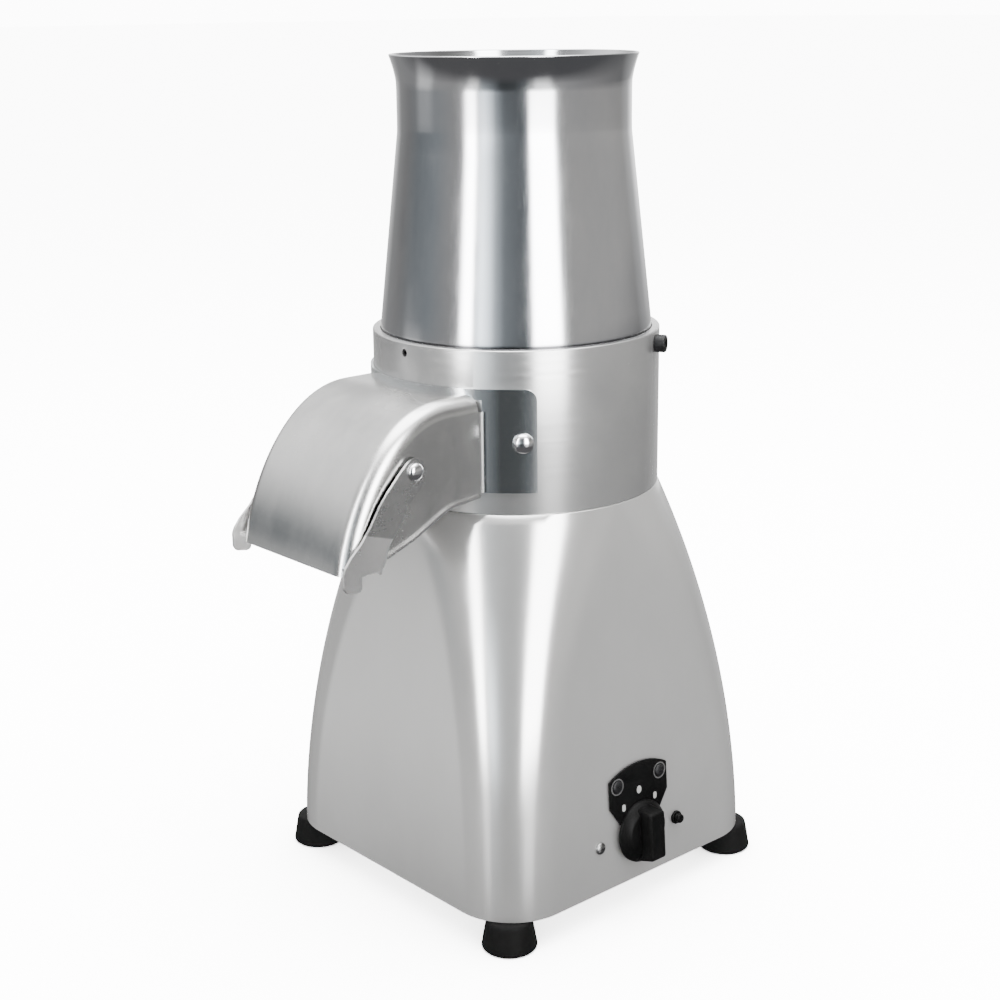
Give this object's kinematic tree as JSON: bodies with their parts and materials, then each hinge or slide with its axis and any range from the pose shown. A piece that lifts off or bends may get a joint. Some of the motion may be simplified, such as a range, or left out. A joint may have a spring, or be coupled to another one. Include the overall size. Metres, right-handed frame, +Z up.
{
  "type": "electric grater",
  "caption": "Upright electric grater: tall steel feed hopper over a grating chamber, curved side discharge hood with a flap, and a square-to-round steel stand with a rotary switch.",
  "frame": {"origin": "middle of the machine's whole footprint, at floor level", "axes": "+Z up along the drive shaft and hopper; -Y towards the front panel with the switch; -X towards the discharge hood"},
  "size_m": [0.346, 0.3044, 0.61],
  "materials": {
    "brushed_steel": "satin",
    "satin_aluminium": "satin",
    "polished_steel": "polished",
    "black_oxide": "satin",
    "black_rubber": "matte",
    "black_plastic": "matte",
    "motor_grey": "satin",
    "winding_copper": "satin",
    "lamination_steel": "satin"
  },
  "bodies": {
    "stand": {"stand_shell": "brushed_steel", "base_plate": "brushed_steel", "foot_front_left": "black_rubber", "foot_front_right": "black_rubber", "foot_rear_left": "black_rubber", "foot_rear_right": "black_rubber", "foot_screw_front_left": "polished_steel", "foot_screw_front_right": "polished_steel", "foot_screw_rear_left": "polished_steel", "foot_screw_rear_right": "polished_steel", "chamber_body": "satin_aluminium", "hopper_clamp_screw_front": "black_oxide", "hopper_clamp_screw_rear": "black_oxide", "hopper_stop_screw": "black_oxide", "hood_screw_front": "polished_steel", "hood_screw_rear": "polished_steel", "motor_frame": "motor_grey", "motor_upper_shield": "motor_grey", "motor_lower_shield": "motor_grey", "tie_bolt_1": "black_oxide", "tie_bolt_2": "black_oxide", "tie_bolt_3": "black_oxide", "tie_bolt_4": "black_oxide", "chamber_bolt_1": "black_oxide", "chamber_bolt_2": "black_oxide", "chamber_bolt_3": "black_oxide", "chamber_bolt_4": "black_oxide", "upper_bearing": "polished_steel", "lower_bearing": "polished_steel", "shaft_seal": "black_rubber", "stator_core": "lamination_steel", "stator_winding": "winding_copper", "fan_cover": "motor_grey", "outlet_hood": "brushed_steel", "flap_pivot_front": "polished_steel", "flap_pivot_rear": "polished_steel", "switch_plate": "black_plastic", "switch_body": "black_plastic", "switch_screw_left": "black_oxide", "switch_screw_right": "black_oxide", "overload_breaker": "black_plastic", "run_capacitor": "satin_aluminium", "capacitor_clip": "polished_steel", "capacitor_clip_screw": "polished_steel", "cable_gland": "black_plastic", "gland_nut": "black_plastic"},
    "drive": {"drive_shaft": "polished_steel", "rotor_core": "lamination_steel", "cooling_fan": "black_plastic", "ejector": "satin_aluminium", "grating_disc": "polished_steel", "disc_nut": "polished_steel"},
    "feed": {"hopper": "brushed_steel"},
    "flap": {"outlet_flap": "brushed_steel"},
    "knob": {"switch_knob": "black_plastic", "switch_spindle": "polished_steel"},
    "button": {"reset_button": "black_plastic"}
  },
  "joints": [
    {"name": "drive_spin", "type": "hinge", "parent": "stand", "child": "drive", "pos_m": [0.03725, 0.00225, 0.35], "axis": [0, 0, 1], "continuous": true},
    {"name": "hopper_lift", "type": "slide", "parent": "stand", "child": "feed", "axis": [0, 0, 1], "range_m": [0, 0.03]},
    {"name": "flap_swing", "type": "hinge", "parent": "stand", "child": "flap", "pos_m": [-0.11295, 0.00225, 0.3453], "axis": [0, -1, 0], "range_deg": [0, 40]},
    {"name": "switch_turn", "type": "hinge", "parent": "stand", "child": "knob", "pos_m": [0.03425, -0.13102, 0.0598], "axis": [0, -0.9975, 0.0702], "range_deg": [-35, 35]},
    {"name": "reset_press", "type": "slide", "parent": "stand", "child": "button", "axis": [0, 0.9975, -0.0702], "range_m": [0, 0.0025], "stiffness_N_per_m": 400, "springref_m": -0.002}
  ]
}
